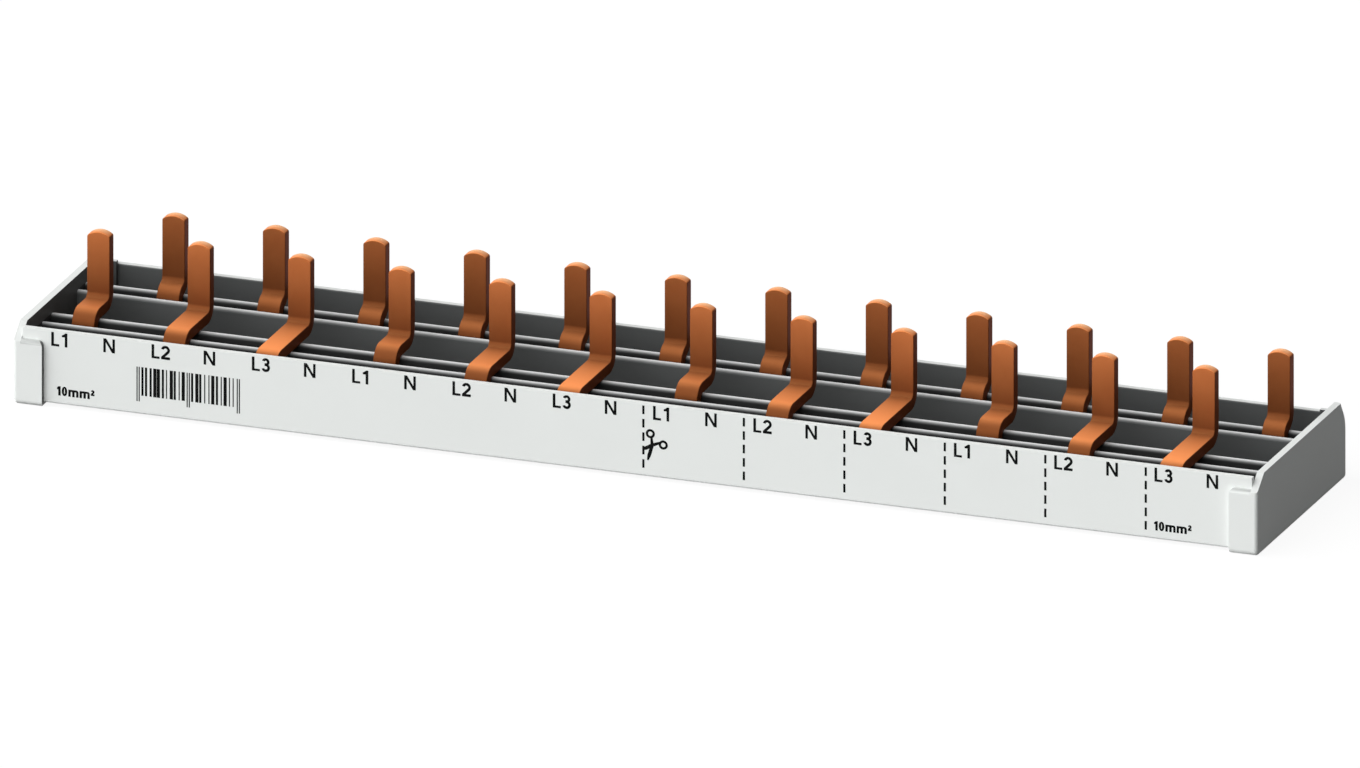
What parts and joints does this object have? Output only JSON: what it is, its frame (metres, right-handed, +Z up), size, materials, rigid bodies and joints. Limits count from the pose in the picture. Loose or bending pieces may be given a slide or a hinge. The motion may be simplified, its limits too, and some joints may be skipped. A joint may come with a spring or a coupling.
{
  "type": "comb busbar",
  "caption": "Comb busbar that links a row of DIN-rail devices: copper combs with upright blades in a white insulating channel, closed by a moulded cap at each end.",
  "frame": {"origin": "Middle of the footprint, on the plane that both end caps stand on.", "axes": "+X along the profile to the right end cap, +Y from the printed front wall to the back, +Z up along the blades."},
  "size_m": [0.2228, 0.0434, 0.0251],
  "materials": {
    "profile_plastic": "smooth extruded plastic",
    "cap_plastic": "smooth moulded plastic",
    "copper": "bare stamped copper, softly shining"
  },
  "bodies": {
    "root": {"insulating_profile": "profile_plastic", "busbar_l1": "copper", "busbar_l2": "copper", "busbar_l3": "copper", "busbar_n": "copper", "end_cap_left": "cap_plastic", "end_cap_right": "cap_plastic"}
  },
  "joints": []
}
